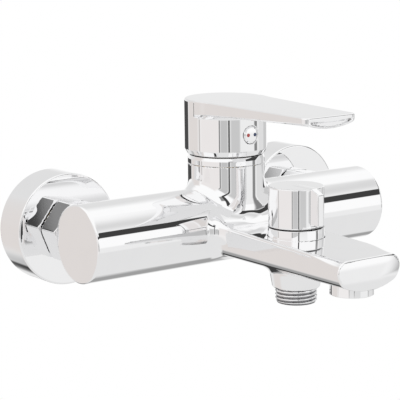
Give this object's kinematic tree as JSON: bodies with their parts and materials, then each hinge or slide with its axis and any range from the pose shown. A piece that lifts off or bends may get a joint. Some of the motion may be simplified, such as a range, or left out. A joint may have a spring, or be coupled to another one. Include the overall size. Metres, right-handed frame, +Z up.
{
  "type": "wall mounted bath and shower mixer",
  "caption": "Wall mounted bath mixer: round body bar between wall escutcheons, single lever on an upright neck, flat spout with a diverter knob and a threaded shower outlet below.",
  "frame": {"origin": "wall plane, midway between the axes of the two wall threads", "axes": "+X along the body bar to the user's right when facing the wall, -Y out of the wall towards the user, +Z up"},
  "size_m": [0.208, 0.1838, 0.0972],
  "materials": {
    "chrome": "polished plating over brass",
    "brass": "turned",
    "steel": "machined stainless",
    "ceramic": null,
    "rubber": "moulded",
    "white_plastic": "moulded",
    "dark_plastic": "moulded",
    "blue_plastic": "moulded",
    "red_paint": "enamel inlay",
    "blue_paint": "enamel inlay"
  },
  "bodies": {
    "fixed": {"mixer_body": "chrome", "cover_ring": "chrome", "retaining_nut": "brass", "cartridge_housing": "white_plastic", "cartridge_base": "dark_plastic", "base_seals": "rubber", "fixed_disc": "ceramic", "diverter_collar": "chrome", "diverter_shell": "brass", "diverter_seals": "rubber", "diverter_fixed_disc": "ceramic", "hose_nipple": "chrome", "check_valve": "white_plastic", "nipple_seal": "rubber", "aerator_shell": "chrome", "aerator_insert": "white_plastic", "aerator_seal": "rubber", "inlet_tail_left": "brass", "inlet_tail_right": "brass", "union_nut_left": "chrome", "union_nut_right": "chrome", "filter_seal_left": "rubber", "filter_seal_right": "rubber", "eccentric_left": "brass", "eccentric_right": "brass", "silencer_left": "white_plastic", "silencer_right": "white_plastic", "escutcheon_left": "chrome", "escutcheon_right": "chrome"},
    "guide": {"cartridge_guide": "white_plastic", "guide_pin": "steel"},
    "handle": {"stem": "steel", "lever": "chrome", "lever_screw": "steel", "index_button": "chrome", "hot_dot": "red_paint", "cold_dot": "blue_paint"},
    "disc": {"moving_disc": "ceramic", "disc_carrier": "blue_plastic"},
    "knob": {"diverter_knob": "chrome", "knob_screw": "steel", "diverter_spindle": "brass", "diverter_moving_disc": "ceramic"},
    "poppet": {"check_poppet": "blue_plastic"}
  },
  "joints": [
    {"name": "lever_turn", "type": "hinge", "parent": "fixed", "child": "guide", "pos_m": [0, -0.0555, 0.036], "axis": [0, 0, 1], "range_deg": [-50, 50]},
    {"name": "lever_lift", "type": "hinge", "parent": "guide", "child": "handle", "pos_m": [0, -0.0555, 0.033], "axis": [-1, 0, 0], "range_deg": [0, 22]},
    {"name": "disc_slide", "type": "slide", "parent": "guide", "child": "disc", "axis": [0, -1, 0], "range_m": [0, 0.0034]},
    {"name": "diverter_turn", "type": "hinge", "parent": "fixed", "child": "knob", "pos_m": [0, -0.1127, 0.016], "axis": [0, 0, 1], "range_deg": [0, 90]},
    {"name": "check_slide", "type": "slide", "parent": "fixed", "child": "poppet", "axis": [0, 0, -1], "range_m": [0, 0.0025], "stiffness_N_per_m": 150, "springref_m": -0.002}
  ],
  "couplings": [
    {"joint": "disc_slide", "follows": "lever_lift", "m_per_rad": 0.0082}
  ]
}
